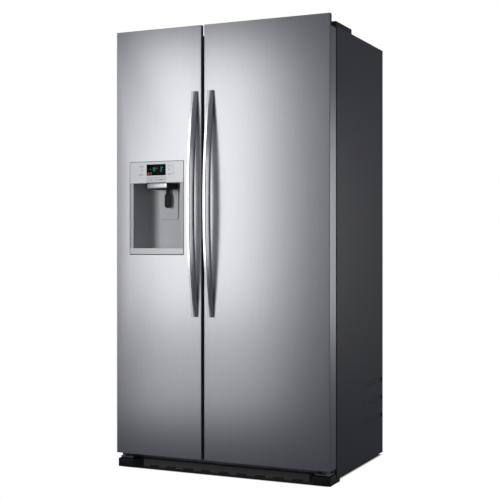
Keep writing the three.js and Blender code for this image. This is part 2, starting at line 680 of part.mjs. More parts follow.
function gasket(name, xs) {
  const ring = box(xs, GASKET, GASKET_Z).subtract(
    box(grow(xs, -GASKET_WIDTH), grow(GASKET, 1), grow(GASKET_Z, -GASKET_WIDTH)));
  return part(name, ring, RUBBER);
}

// A bowed bar: both faces are arcs, and its two feet lie flat on the door.
function handle(name, x) {
  const middle = (HANDLE_LOW + HANDLE_HIGH) / 2;
  const arcPoints = (reach, footReach, halfLength, steps) => {
    const rise = reach - footReach;
    const radius = (halfLength ** 2 + rise ** 2) / (2 * rise);
    return [...Array(steps + 1)].map((_, i) => {
      const z = halfLength * (1 - (2 * i) / steps);
      return [DOOR_FRONT - footReach - (Math.sqrt(radius ** 2 - z ** 2) - (radius - rise)), middle + z];
    });
  };
  const half = (HANDLE_HIGH - HANDLE_LOW) / 2;
  const front = arcPoints(HANDLE_REACH, HANDLE_END_REACH, half, HANDLE_STEPS);
  const back = arcPoints(HANDLE_REACH - HANDLE_DEPTH, GAP, half - HANDLE_FOOT, HANDLE_STEPS).reverse();
  const feet = [[DOOR_FRONT - GAP, HANDLE_LOW], ...back, [DOOR_FRONT - GAP, HANDLE_HIGH]];
  const bar = across(polygon([...front, ...feet]), [x - HANDLE_WIDTH / 2, x + HANDLE_WIDTH / 2]);
  return part(name, bar, STEEL);
}

function doorBin(name, xs, bottom, height) {
  return part(name, tub(xs, [DOOR_BACK + 1.5, DOOR_FRONT + 172], [bottom, bottom + height], 3), CLEAR);
}

// ---- Dispenser ----
const HOUSING_STEP = DOOR_FRONT + 14;
const TAPER = 11;
const FRAME_WIDTH = 15.5;
const HOUSING_WALL = 6;
const RECESS_BACK = DOOR_FRONT + RECESS_DEPTH;
const EDGE_GAP = 0.4;
const PLATE_X = [-321, -233];
const PLATE_BOTTOM = 991;

// The recess narrows towards its back; the outline can be grown outwards.
function recessOutline(by, front, back) {
  const inset = (y) => FRAME_WIDTH + (TAPER * (y - DOOR_FRONT)) / RECESS_DEPTH - by;
  return polygon([
    [DISPENSER[0] + inset(front), front],
    [DISPENSER[0] + inset(back), back],
    [DISPENSER[1] - inset(back), back],
    [DISPENSER[1] - inset(front), front],
  ]);
}

function dispenserBody(clearance) {
  const zs = grow(DISPENSER_Z, clearance - EDGE_GAP);
  const front = box(grow(DISPENSER, clearance - EDGE_GAP), [DOOR_FRONT, HOUSING_STEP + clearance], zs);
  const wall = HOUSING_WALL + clearance;
  const back = raise(recessOutline(wall, DOOR_FRONT, RECESS_BACK + wall), zs);
  return front.add(back);
}

function dispenserHousing() {
  const recess = raise(recessOutline(0, DOOR_FRONT - 1, RECESS_BACK), [RECESS_FLOOR, PANEL_BOTTOM - 0.6]);
  const seatX = grow(DISPENSER, 1);
  const panelSeat = box(seatX, [DOOR_FRONT - 1, HOUSING_STEP], [PANEL_BOTTOM - GAP, DISPENSER_Z[1] + 1]);
  const lipSeat = box(seatX, [DOOR_FRONT - 1, DOOR_FRONT + 6.3], [DISPENSER_Z[0] - 1, TRAY_LIP[1] + GAP]);
  const plateOutline = rounded(PLATE_X, [PLATE_BOTTOM, PANEL_BOTTOM], 12, 0);
  const plate = inward(plateOutline, [RECESS_BACK - 4, RECESS_BACK + 1]);
  return part('dispenser_housing', cutAll(dispenserBody(0), [recess, panelSeat, lipSeat]).add(plate), SILVER);
}

function controlPanel() {
  const xs = grow(DISPENSER, -EDGE_GAP);
  const zs = [PANEL_BOTTOM, DISPENSER_Z[1] - EDGE_GAP];
  const body = box(xs, [DOOR_FRONT - 1.5, HOUSING_STEP - GAP], zs);
  const displaySeat = box(grow(DISPLAY_X, GAP), [DOOR_FRONT - 2, DOOR_FRONT + 4], grow(DISPLAY_Z, GAP));
  const keySeatZ = [PANEL_BOTTOM - 1, KEY_Z[1] + EDGE_GAP];
  const keySeat = box(grow(DISPLAY_X, EDGE_GAP), [DOOR_FRONT - 2, DOOR_FRONT + 8], keySeatZ);
  return part('control_panel', cutAll(body, [displaySeat, keySeat]), SILVER);
}

function displayWindow() {
  return part('display_window', box(DISPLAY_X, [DOOR_FRONT - 1.2, DOOR_FRONT + 3.7], DISPLAY_Z), BLACK);
}

function pushKey(name, xs) {
  return part(name, box(xs, [DOOR_FRONT - 2.2, DOOR_FRONT + 5.5], KEY_Z), SILVER);
}

function nozzleCover() {
  const shape = new THREE.Shape();
  shape.moveTo(DISPLAY_X[0], DOOR_FRONT + NOZZLE_DEPTH);
  shape.lineTo(DISPLAY_X[0], DOOR_FRONT + 4);
  shape.quadraticCurveTo(NOZZLE_X, DOOR_FRONT - 13, DISPLAY_X[1], DOOR_FRONT + 4);
  shape.lineTo(DISPLAY_X[1], DOOR_FRONT + NOZZLE_DEPTH);
  return part('nozzle_cover', raise(shape, NOZZLE_Z, FINE), SILVER);
}

function dispenserLever() {
  const { y, z } = LEVER_PIVOT;
  const padOutline = rounded(grow([NOZZLE_X, NOZZLE_X], PAD_HALF_WIDTH), PAD_Z, PAD_HALF_WIDTH - 0.1);
  const pad = inward(padOutline, [y - 5, y + 2]);
  const stem = box([NOZZLE_X - 7, NOZZLE_X + 7], [y - 2.5, y + 2], [1090, z]);
  const barrel = cylinder('x', 4.5, [NOZZLE_X - 24, NOZZLE_X + 24], [y - 0.5, z], 16);
  return part('dispenser_lever', joinAll([pad, stem, barrel]), BLACK);
}

function dripTray() {
  const lip = box(grow(DISPENSER, -0.5), [DOOR_FRONT - 1.5, DOOR_FRONT + 6], TRAY_LIP);
  const back = RECESS_BACK - 0.6;
  const tray = raise(recessOutline(-0.6, DOOR_FRONT + 5, back), [RECESS_FLOOR + GAP, TRAY_TOP]);
  const well = raise(recessOutline(-4, DOOR_FRONT + 12, back - 4), [RECESS_FLOOR + 3, TRAY_TOP - 4]);
  const slots = [...Array(TRAY_SLOTS)].map((_, i) => {
    const x = TRAY_SLOT_START + i * TRAY_SLOT_PITCH;
    const xs = [x, x + TRAY_SLOT_PITCH / 2];
    return box(xs, [DOOR_FRONT + 26, DOOR_FRONT + 84], [TRAY_TOP - 6, TRAY_TOP + 1]);
  });
  return part('drip_tray', cutAll(lip.add(tray), [well, ...slots]), SILVER);
}

// ---- Assembly ----
function cabinet() {
  return group(
    cabinetWrapper(),
    backPanel(),
    insulationFoam(),
    liner('freezer_liner', FREEZER_ROOM, [FLANGE - HALF_WIDTH + GAP, MULLION - 0.2],
      Object.values(FREEZER_SHELVES), Object.values(FREEZER_DRAWERS), WHITE),
    liner('fridge_liner', FRIDGE_ROOM, [MULLION + 0.2, HALF_WIDTH - FLANGE - GAP],
      [...Object.values(FRIDGE_SHELVES), CRISPER_COVER_Z], Object.values(CRISPERS), WHITE),
    baseFrame(),
    toeGrille(),
    machineCover(),
    powerGland(),
    compressor(),
    finnedCoil('condenser_coil', [-180, 60], [190, 310], [32, 232], 13, 6),
    condenserFan(),
    fanShroud(),
    evaporatorCover(),
    airDuctPanel(),
    iceBucket(),
    iceMaker(),
    ...[['left', -1], ['right', 1]].flatMap(([word, side]) => [
      footCover(`foot_cover_${word}`, side),
      levelingLeg(`leveling_leg_${word}`, side),
      roller(`rear_roller_${word}`, side),
      upperHinge(`upper_hinge_${word}`, side),
      lowerHinge(`lower_hinge_${word}`, side),
      hingeCover(`hinge_cover_${word}`, side),
    ]),
    ...Object.entries(FREEZER_SHELVES).map(([name, z]) => glassShelf(name, FREEZER_ROOM, z, SHELF_BACK)),
    ...Object.entries(FRIDGE_SHELVES).map(([name, z]) => glassShelf(name, FRIDGE_ROOM, z, SHELF_BACK)),
    glassShelf('crisper_cover', FRIDGE_ROOM, CRISPER_COVER_Z, SHELF_BACK),
    ...Object.entries(FREEZER_DRAWERS).map(([name, zs]) => drawer(name, FREEZER_ROOM, zs)),
    ...Object.entries(CRISPERS).map(([name, zs]) => drawer(name, FRIDGE_ROOM, zs)),
  );
}

function freezerDoor() {
  const bulgeOutline = recessOutline(HOUSING_WALL + 14, DOOR_BACK - 1, RECESS_BACK + HOUSING_WALL + 10);
  const recessBulge = raise(bulgeOutline, grow(DISPENSER_Z, 12));
  const faceCut = box(DISPENSER, [DOOR_FRONT - 1, DOOR_FRONT + SHEET + 1], DISPENSER_Z);
  return group(
    doorSkin('freezer_door_skin', FREEZER_DOOR, -1, [faceCut]),
    doorCap('freezer_door_cap', FREEZER_DOOR, -1),
    doorLiner('freezer_door_liner', FREEZER_DOOR, -1, [-395, -105], [recessBulge], [dispenserBody(0.8)]),
    gasket('freezer_gasket', [-432, -80]),
    handle('freezer_handle', HANDLE_X.freezer),
    doorBin('freezer_bin_upper', [-376, -126], 1300, 110),
    doorBin('freezer_bin_lower', [-376, -126], 715, 100),
    dispenserHousing(),
    controlPanel(),
    displayWindow(),
    pushKey('water_key', [DISPLAY_X[0], NOZZLE_X - 0.3]),
    pushKey('ice_key', [NOZZLE_X + 0.3, DISPLAY_X[1]]),
    nozzleCover(),
    dispenserLever(),
    dripTray(),
  );
}

function fridgeDoor() {
  const binX = [-15, 370];
  return group(
    doorSkin('fridge_door_skin', FRIDGE_DOOR, 1, []),
    doorCap('fridge_door_cap', FRIDGE_DOOR, 1),
    doorLiner('fridge_door_liner', FRIDGE_DOOR, 1, [-35, 390], [], []),
    gasket('fridge_gasket', [-56, 432]),
    handle('fridge_handle', HANDLE_X.fridge),
    doorBin('fridge_bin_upper', binX, 1330, 110),
    doorBin('fridge_bin_lower', binX, 640, 130),
  );
}

// The middle of the whole depth, from the handles to the power gland, stands over the origin.
const appliance = group(cabinet(), freezerDoor(), fridgeDoor());
appliance.position.y = -(DOOR_FRONT - HANDLE_REACH + GLAND_BACK) / 2;

export default appliance;
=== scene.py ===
"""The looks of a side by side refrigerator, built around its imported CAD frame.

Metres, +Z up, -Y out of the doors.
"""

import math

import bmesh
import bpy
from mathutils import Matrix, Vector


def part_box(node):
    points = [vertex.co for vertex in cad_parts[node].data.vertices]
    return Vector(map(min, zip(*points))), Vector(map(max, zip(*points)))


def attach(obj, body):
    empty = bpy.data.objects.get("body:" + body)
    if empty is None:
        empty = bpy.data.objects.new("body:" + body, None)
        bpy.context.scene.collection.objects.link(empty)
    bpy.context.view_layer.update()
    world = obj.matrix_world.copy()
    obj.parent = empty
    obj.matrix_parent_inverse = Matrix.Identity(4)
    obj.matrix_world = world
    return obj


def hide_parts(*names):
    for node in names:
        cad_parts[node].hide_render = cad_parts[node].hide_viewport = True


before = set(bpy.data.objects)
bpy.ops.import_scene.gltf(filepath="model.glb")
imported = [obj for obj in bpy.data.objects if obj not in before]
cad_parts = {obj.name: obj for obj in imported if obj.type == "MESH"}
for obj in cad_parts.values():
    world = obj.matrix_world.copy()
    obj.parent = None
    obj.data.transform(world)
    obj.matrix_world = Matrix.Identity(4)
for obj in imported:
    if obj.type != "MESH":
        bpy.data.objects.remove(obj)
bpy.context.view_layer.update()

MM = 0.001
GAP = 0.4 * MM
DOOR_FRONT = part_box("freezer_door_skin")[0].y
SHADE_ANGLE = math.radians(32)
BEVEL_ANGLE = math.radians(30)
FLAT_ANGLE = math.radians(0.6)
WELD_DISTANCE = 0.02 * MM


# ---- Materials ----
MATERIALS = {}


def procedural(name, dark, light, metallic=0.0, rough=(0.4, 0.5), scale=300.0, stretch=(1, 1, 1), relief=0.1,
               depth=0.2 * MM, edge=0.8 * MM, **sockets):
    """Adds a material whose colour, roughness and relief follow one noise; its edges catch the light."""
    material = bpy.data.materials.new(name)
    material.use_nodes = True
    nodes, links = material.node_tree.nodes, material.node_tree.links
    shader = nodes["Principled BSDF"]
    place = nodes.new("ShaderNodeTexCoord")
    mapping = nodes.new("ShaderNodeMapping")
    mapping.inputs["Scale"].default_value = stretch
    noise = nodes.new("ShaderNodeTexNoise")
    noise.inputs["Scale"].default_value = scale
    noise.inputs["Detail"].default_value = 5
    colours = nodes.new("ShaderNodeValToRGB")
    colours.color_ramp.elements[0].position = 0.3
    colours.color_ramp.elements[0].color = (*dark, 1)
    colours.color_ramp.elements[1].position = 0.7
    colours.color_ramp.elements[1].color = (*light, 1)
    roughness = nodes.new("ShaderNodeMapRange")
    roughness.inputs["To Min"].default_value = rough[0]
    roughness.inputs["To Max"].default_value = rough[1]
    bump = nodes.new("ShaderNodeBump")
    bump.inputs["Strength"].default_value = relief
    bump.inputs["Distance"].default_value = depth
    if edge:
        rounding = nodes.new("ShaderNodeBevel")
        rounding.inputs["Radius"].default_value = edge
        links.new(rounding.outputs["Normal"], bump.inputs["Normal"])
    links.new(place.outputs["Object"], mapping.inputs["Vector"])
    links.new(mapping.outputs["Vector"], noise.inputs["Vector"])
    links.new(noise.outputs["Fac"], colours.inputs["Fac"])
    links.new(noise.outputs["Fac"], roughness.inputs["Value"])
    links.new(noise.outputs["Fac"], bump.inputs["Height"])
    links.new(colours.outputs["Color"], shader.inputs["Base Color"])
    links.new(roughness.outputs["Result"], shader.inputs["Roughness"])
    links.new(bump.outputs["Normal"], shader.inputs["Normal"])
    shader.inputs["Metallic"].default_value = metallic
    for socket, value in sockets.items():
        shader.inputs[socket.replace("_", " ")].default_value = value
    MATERIALS[name] = material
    return material


def grey(level, cool=0.0):
    """A grey of one brightness, tinted towards blue by a small share."""
    return (level, level * (1 + cool * 0.2), level * (1 + cool))


def glowing(name, colour, strength):
    """Lit segments behind the display's window, a little uneven like real ones."""
    material = procedural(name, tuple(c * 0.5 for c in colour), colour, scale=900.0)
    shader = material.node_tree.nodes["Principled BSDF"]
    shader.inputs["Emission Color"].default_value = (*colour, 1)
    shader.inputs["Emission Strength"].default_value = strength


UPRIGHT_GRAIN = (1, 1, 0.012)
LENGTHWAYS = (1, 1, 0.03)


def metals():
    procedural("stainless", grey(0.45, 0.05), grey(0.48, 0.05), metallic=1.0, rough=(0.33, 0.37), scale=620,
               stretch=UPRIGHT_GRAIN, relief=0.05, depth=0.05 * MM, Anisotropic=0.4)
    procedural("handle_steel", grey(0.62, 0.02), grey(0.74, 0.02), metallic=1.0, rough=(0.16, 0.24),
               scale=500, stretch=LENGTHWAYS, relief=0.05, depth=0.05 * MM, Anisotropic=0.3)
    procedural("side_paint", grey(0.062, 0.10), grey(0.075, 0.10), metallic=0.35, rough=(0.36, 0.46),
               scale=260, relief=0.25, depth=0.15 * MM, edge=3 * MM)
    procedural("zinc_steel", grey(0.33), grey(0.46), metallic=0.85, rough=(0.35, 0.5), scale=60,
               relief=0.05)
    procedural("black_enamel", grey(0.009), grey(0.015), rough=(0.2, 0.3), scale=120, relief=0.1)
    procedural("copper", (0.42, 0.36, 0.30), (0.60, 0.50, 0.42), metallic=0.9, rough=(0.3, 0.42), scale=180,
               relief=0.08)


def dark_plastics():
    procedural("black_plastic", grey(0.010), grey(0.018), rough=(0.42, 0.55), scale=900, relief=0.2,
               depth=0.1 * MM)
    procedural("lever_grip", grey(0.03), grey(0.045), rough=(0.4, 0.5), scale=900, relief=0.1)
    # A painted shadow line for the shaded seam round the dispenser's frame.
    procedural("shadow_line_grey", grey(0.06), grey(0.09), rough=(0.5, 0.6), scale=900, relief=0.1)
    procedural("toe_plastic", (0.130, 0.122, 0.126), (0.165, 0.156, 0.160), rough=(0.5, 0.62), scale=700,
               relief=0.25, depth=0.12 * MM)
    procedural("gasket_rubber", grey(0.020), grey(0.032), rough=(0.6, 0.75), scale=600, relief=0.2)
    procedural("display_black", grey(0.004), grey(0.007), rough=(0.06, 0.1), scale=900, relief=0.02,
               Specular_IOR_Level=0.03)


def light_plastics():
    procedural("foam", (0.62, 0.52, 0.28), (0.74, 0.64, 0.38), rough=(0.85, 0.95), scale=380, relief=0.5,
               depth=0.5 * MM)
    procedural("liner_plastic", grey(0.76), grey(0.81), rough=(0.26, 0.34), scale=500, relief=0.05,
               depth=0.08 * MM)
    procedural("silver_plastic", grey(0.53, 0.02), grey(0.58, 0.02), metallic=0.7, rough=(0.40, 0.46),
               scale=1500, relief=0.04, depth=0.05 * MM)
    procedural("recess_plastic", grey(0.33, 0.05), grey(0.37, 0.05), metallic=0.35, rough=(0.48, 0.56),
               scale=900, stretch=LENGTHWAYS, relief=0.05, depth=0.05 * MM)
    procedural("key_plastic", grey(0.42, 0.07), grey(0.47, 0.07), metallic=0.7, rough=(0.38, 0.44),
               scale=1500, relief=0.05)
    procedural("print_grey", grey(0.22), grey(0.28), rough=(0.5, 0.6), scale=900)
    procedural("glass", (0.80, 0.90, 0.88), (0.88, 0.95, 0.93), rough=(0.03, 0.08), scale=40, relief=0.02,
               Transmission_Weight=0.9, IOR=1.5)
    procedural("clear_plastic", (0.78, 0.86, 0.89), (0.86, 0.92, 0.94), rough=(0.08, 0.16), scale=90,
               relief=0.03, Transmission_Weight=0.8, IOR=1.49)


def lit_materials():
    glowing("teal_light", (0.01, 0.42, 0.46), 0.8)
    glowing("red_light", (0.55, 0.01, 0.02), 0.9)
    glowing("green_light", (0.01, 0.32, 0.2), 0.8)
    glowing("lamp_white", (0.9, 0.93, 1.0), 2.2)


# ---- Mesh helpers ----
def smooth_by_angle():
    """A node group that shades faces smooth and keeps edges over an angle sharp."""
    group = bpy.data.node_groups.new("smooth_by_angle", "GeometryNodeTree")
    group.interface.new_socket("Geometry", in_out="INPUT", socket_type="NodeSocketGeometry")
    group.interface.new_socket("Geometry", in_out="OUTPUT", socket_type="NodeSocketGeometry")
    start, end = group.nodes.new("NodeGroupInput"), group.nodes.new("NodeGroupOutput")
    faces, edges = (group.nodes.new("GeometryNodeSetShadeSmooth") for _ in range(2))
    edges.domain = "EDGE"
    angle = group.nodes.new("GeometryNodeInputMeshEdgeAngle")
    flat_enough = group.nodes.new("FunctionNodeCompare")
    flat_enough.operation = "LESS_THAN"
    flat_enough.inputs["B"].default_value = SHADE_ANGLE
    group.links.new(start.outputs[0], faces.inputs["Geometry"])
    group.links.new(faces.outputs[0], edges.inputs["Geometry"])
    group.links.new(angle.outputs["Unsigned Angle"], flat_enough.inputs["A"])
    group.links.new(flat_enough.outputs[0], edges.inputs["Shade Smooth"])
    group.links.new(edges.outputs[0], end.inputs[0])
    return group


SMOOTH = smooth_by_angle()


def soften(piece, width, segments, merge):
    """Rounds a piece's edges with modifiers and shades it smooth."""
    weld = piece.modifiers.new("weld", "WELD")
    weld.merge_threshold = WELD_DISTANCE
    if merge:
        planar = piece.modifiers.new("planar", "DECIMATE")
        planar.decimate_type = "DISSOLVE"
        planar.angle_limit = FLAT_ANGLE
    if width:
        bevel = piece.modifiers.new("bevel", "BEVEL")
        bevel.width = width
        bevel.segments = segments
        bevel.limit_method = "ANGLE"
        bevel.angle_limit = BEVEL_ANGLE
        bevel.use_clamp_overlap = True
    shade = piece.modifiers.new("shade", "NODES")
    shade.node_group = SMOOTH


def paint(piece, material):
    piece.data.materials.clear()
    piece.data.materials.append(MATERIALS[material])


def dress(node, material, width=0.0, segments=2):
    """Gives a CAD node its material, and real rounded edges where its shape is simple.

    Its own mesh stays as it is.
    """
    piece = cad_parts[node]
    paint(piece, material)
    soften(piece, width, segments, bool(width))


def add_piece(name, mesh, body, material, replaces=(), width=0.0, segments=2):
    """Makes a bmesh into a piece that rides on a body."""
    bmesh.ops.recalc_face_normals(mesh, faces=mesh.faces)
    data = bpy.data.meshes.new(name)
    mesh.to_mesh(data)
    mesh.free()
    piece = bpy.data.objects.new(name, data)
    bpy.context.scene.collection.objects.link(piece)
    paint(piece, material)
    soften(piece, width, segments, False)
    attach(piece, body)
    if replaces:
        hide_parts(*replaces)


def loft(mesh, rings, closed=False):
    """Joins rings of points into a skin; open lofts get flat ends."""
    loops = [[mesh.verts.new(point) for point in ring] for ring in rings]
    pairs = list(zip(loops, loops[1:]))
    if closed:
        pairs.append((loops[-1], loops[0]))
    for low, high in pairs:
        for i in range(len(low)):
            j = (i + 1) % len(low)
            mesh.faces.new((low[i], low[j], high[j], high[i]))
    if not closed:
        mesh.faces.new(loops[0][::-1])
        mesh.faces.new(loops[-1])
    return mesh


def rounded_ring(low, high, radius, steps=5):
    """Corner-rounded rectangle as 2D points, anticlockwise from its low corner."""
    centres = [(low[0] + radius, low[1] + radius, 180), (high[0] - radius, low[1] + radius, 270),
               (high[0] - radius, high[1] - radius, 0), (low[0] + radius, high[1] - radius, 90)]
    points = []
    for a, b, start in centres:
        for i in range(steps + 1):
            turn = math.radians(start + 90 * i / steps)
            points.append((a + radius * math.cos(turn), b + radius * math.sin(turn)))
    return points


def slab(mesh, low, high, radius, axis="y", steps=5):
    """A plate with rounded corners, as thick as its box along one axis."""
    a, b, c = {"x": (1, 2, 0), "y": (0, 2, 1), "z": (0, 1, 2)}[axis]
    outline = rounded_ring((low[a], low[b]), (high[a], high[b]), radius, steps)

    def ring(depth):
        points = []
        for u, v in outline:
            point = [0.0, 0.0, 0.0]
            point[a], point[b], point[c] = u, v, depth
            points.append(point)
        return points

    return loft(mesh, [ring(low[c]), ring(high[c])])


def turned(mesh, profile, centre, axis, sides=24):
    """A solid of revolution: profile is (radius, along) from end to end, and closes on the axis."""
    spin = Vector(axis).to_track_quat("Z", "Y").to_matrix()

    def ring(radius, along):
        turns = (2 * math.pi * i / sides for i in range(sides))
        return [Vector(centre) + spin @ Vector((radius * math.cos(turn), radius * math.sin(turn), along))
                for turn in turns]

    return loft(mesh, [ring(radius, along) for radius, along in profile])


def cap_screw(mesh, centre, axis, radius):
    """A pan head screw with a recessed middle."""
    profile = [(1.0, 0.0), (1.0, 0.35), (0.8, 0.6), (0.45, 0.68), (0.4, 0.35)]
    turned(mesh, [(radius * out, radius * along) for out, along in profile], centre, axis, 18)


# ---- CAD nodes that keep their shape ----
SHELVES = ("freezer_shelf_upper", "freezer_shelf_lower", "fridge_shelf_upper", "fridge_shelf_lower")
DRAWERS = ("freezer_drawer_upper", "freezer_drawer_lower", "crisper_drawer_upper", "crisper_drawer_lower")
BINS = ("freezer_bin_upper", "freezer_bin_lower", "fridge_bin_upper", "fridge_bin_lower")
LINERS = ("freezer_liner", "fridge_liner", "freezer_door_liner", "fridge_door_liner", "evaporator_cover",
          "air_duct_panel")


def dress_cad_nodes():
    """Gives every CAD node its material; the pieces made below then replace a few of them."""
    plain = {
        "stainless": ("freezer_door_skin", "fridge_door_skin"),
        "side_paint": ("cabinet_wrapper",),
        "silver_plastic": ("control_panel", "drip_tray"),
        "recess_plastic": ("dispenser_housing",),
        "key_plastic": ("water_key", "ice_key"),
        "display_black": ("display_window",),
        "foam": ("insulation_foam",),
        "copper": ("condenser_coil",),
        "black_enamel": ("compressor",),
        "zinc_steel": ("back_panel", "base_frame", "machine_cover", "fan_shroud"),
        "liner_plastic": LINERS,
        "black_plastic": ("freezer_door_cap", "fridge_door_cap", "power_gland", "condenser_fan"),
        "toe_plastic": ("toe_grille",),
    }
    for material, nodes in plain.items():
        for node in nodes:
            dress(node, material)
    for node in (*SHELVES, "crisper_cover"):
        dress(node, "glass", 0.8 * MM)
    for node in (*DRAWERS, *BINS):
        dress(node, "clear_plastic", 1.2 * MM)
    for node in ("ice_maker", "ice_bucket"):
        dress(node, "liner_plastic", 1.0 * MM)
    for side in ("left", "right"):
        dress(f"rear_roller_{side}", "black_plastic", 1.0 * MM)
        dress(f"foot_cover_{side}", "black_plastic", 2.0 * MM, 3)
        dress(f"hinge_cover_{side}", "black_plastic", 1.8 * MM, 4)
        dress(f"leveling_leg_{side}", "zinc_steel")
        dress(f"upper_hinge_{side}", "zinc_steel")
        dress(f"lower_hinge_{side}", "zinc_steel")


# ---- Handles ----
HANDLE_END_REACH = 8 * MM
HANDLE_DEPTH = 22 * MM
HANDLE_FOOT_LENGTH = 32 * MM
HANDLE_STATIONS = 48
# How suddenly the section stops growing once the bar is as deep as it gets.
HANDLE_SHARPNESS = 6
# The bar's section: how far across its width, and how far behind the front face where it is thickest. A
# flat strip on the left and a sloping one on the right meet in a fine groove.
HANDLE_SECTION = ((0.0, 4.0 * MM), (0.06, 0.0), (0.40, 0.0), (0.42, 2.6 * MM),
                  (0.53, 1.4 * MM), (0.56, 1.8 * MM), (0.92, 5.6 * MM), (1.0, 9.0 * MM))
HANDLE_BACK = ((1.0, 3.5 * MM), (0.9, 0.0), (0.1, 0.0), (0.0, 3.5 * MM))


def arc_reach(z, half, rise):
    """How far an arc of that half length and rise stands out at a height from its middle."""
    radius = (half * half + rise * rise) / (2 * rise)
    return math.sqrt(max(radius * radius - z * z, 0)) - (radius - rise)


def bowed_handle(node, body):
    """A bowed bar with a front in two strips, thinning towards its flat-cut ends."""
    low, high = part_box(node)
    middle, half = (low.z + high.z) / 2, (high.z - low.z) / 2
    reach = DOOR_FRONT - low.y
    inner_half = half - HANDLE_FOOT_LENGTH
    width = high.x - low.x
    rings = []
    for i in range(HANDLE_STATIONS + 1):
        z = -half + 2 * half * i / HANDLE_STATIONS
        front = DOOR_FRONT - HANDLE_END_REACH - arc_reach(z, half, reach - HANDLE_END_REACH)
        back = DOOR_FRONT - GAP
        if abs(z) < inner_half:
            back -= arc_reach(z, inner_half, reach - HANDLE_DEPTH)
        share = (back - front) / HANDLE_DEPTH
        thin = share / (1 + share ** HANDLE_SHARPNESS) ** (1 / HANDLE_SHARPNESS)
        outline = [(across, front + behind * thin) for across, behind in HANDLE_SECTION]
        outline += [(across, back - ahead * thin) for across, ahead in HANDLE_BACK]
        rings.append([(low.x + across * width, y, middle + z) for across, y in outline])
    mesh = loft(bmesh.new(), rings)
    add_piece(f"{body}_bar_handle", mesh, body, "handle_steel", [node])


# ---- Gaskets ----
GASKET_WIDTH = 13 * MM
# The left half of its folded section, from door to cabinet, in widths and depths; the right half mirrors it.
GASKET_FOLDS = ((0.0, 0.0), (0.0, 0.22), (0.16, 0.34), (0.02, 0.5), (0.16, 0.66), (0.02, 0.78), (0.06, 0.97),
                (0.2, 1.0))


def bellows_gasket(node, body):
    """A soft magnetic seal: a folded hollow section mitred round the door."""
    low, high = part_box(node)
    depth = high.y - low.y
    profile = [*GASKET_FOLDS, *((1 - across, along) for across, along in reversed(GASKET_FOLDS))]
    rings = []
    for across, along in profile:
        inset, y = across * GASKET_WIDTH, low.y + along * depth
        rings.append([(low.x + inset, y, low.z + inset), (high.x - inset, y, low.z + inset),
                      (high.x - inset, y, high.z - inset), (low.x + inset, y, high.z - inset)])
    mesh = loft(bmesh.new(), rings, closed=True)
    add_piece(f"{node}_bellows", mesh, body, "gasket_rubber", [node])


# ---- Dispenser ----
DISPENSER_BODY = "freezer_door"
# The hood's face: how far its ends stand back from its box, how far its lower edge falls off, and its bow as
# a share of its depth.
HOOD_SETBACK = 8.6 * MM
HOOD_CROWN = 2.52 * MM
HOOD_BOW = 0.36
HOOD_STEPS, HOOD_LEVELS = 14, 8


def nozzle_cover():
    """A silver hood, bowed forwards and crowned from top to bottom."""
    low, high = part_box("nozzle_cover")
    size = high - low
    rings = []
    for level in range(HOOD_LEVELS + 1):
        up = level / HOOD_LEVELS
        falloff = HOOD_CROWN * (1 - math.sin(math.pi * (0.15 + 0.85 * up)))
        ring = [(high.x, high.y), (low.x, high.y)]
        for i in range(HOOD_STEPS + 1):
            across = i / HOOD_STEPS
            bow = 4 * across * (1 - across) * size.y * HOOD_BOW
            ring.append((low.x + size.x * across, low.y + HOOD_SETBACK + falloff - bow))
        rings.append([(x, y, low.z + size.z * up) for x, y in ring])
    mesh = loft(bmesh.new(), rings)
    add_piece("nozzle_hood", mesh, DISPENSER_BODY, "silver_plastic", ["nozzle_cover"],
              0.9 * MM, 3)


CHUTE_HEIGHT = 22 * MM
CHUTE_WALL = 2.5 * MM
# How far its sides, front and back come in from top to bottom.
CHUTE_TAPER = (3 * MM, 8 * MM, 2 * MM)


def ice_chute():
    """A black funnel between the nozzle hood and the recess's back wall."""
    hood_low, hood_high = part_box("nozzle_cover")
    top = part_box("control_panel")[0].z - 1.2 * MM
    bottom = top - CHUTE_HEIGHT
    front, back = hood_high.y + 2 * MM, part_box("dispenser_lever")[1].y + 6 * MM

    def ring(inset, front_inset, back_inset, z):
        outline = rounded_ring((hood_low.x + inset, front + front_inset),
                               (hood_high.x - inset, back - back_inset), 5 * MM)
        return [(x, y, z) for x, y in outline]

    side, slope, rear = CHUTE_TAPER
    rings = [ring(0, 0, 0, top), ring(side, slope, rear, bottom),
             ring(side + CHUTE_WALL, slope + CHUTE_WALL, rear + CHUTE_WALL, bottom),
             ring(CHUTE_WALL, CHUTE_WALL, CHUTE_WALL, top)]
    mesh = loft(bmesh.new(), rings, closed=True)
    add_piece("ice_chute", mesh, DISPENSER_BODY, "black_plastic", (), 0.6 * MM)


LEVER_PAD_HALF = 12 * MM
LEVER_PAD_HEIGHT = 59 * MM
LEVER_PAD_RADIUS = LEVER_PAD_HALF - 0.4 * MM
LEVER_RIM = 3 * MM
LEVER_STEM_HALF = 7 * MM
DIMPLE_ROWS, DIMPLE_COLUMNS = 9, 3
DIMPLE_PITCH, DIMPLE_ROW_PITCH, DIMPLE_STAGGER = 4.8 * MM, 4.6 * MM, 0.9 * MM
DIMPLE_SHAPE = ((1.5 * MM, 0), (1.2 * MM, 0.7 * MM), (0.5 * MM, 1.0 * MM))


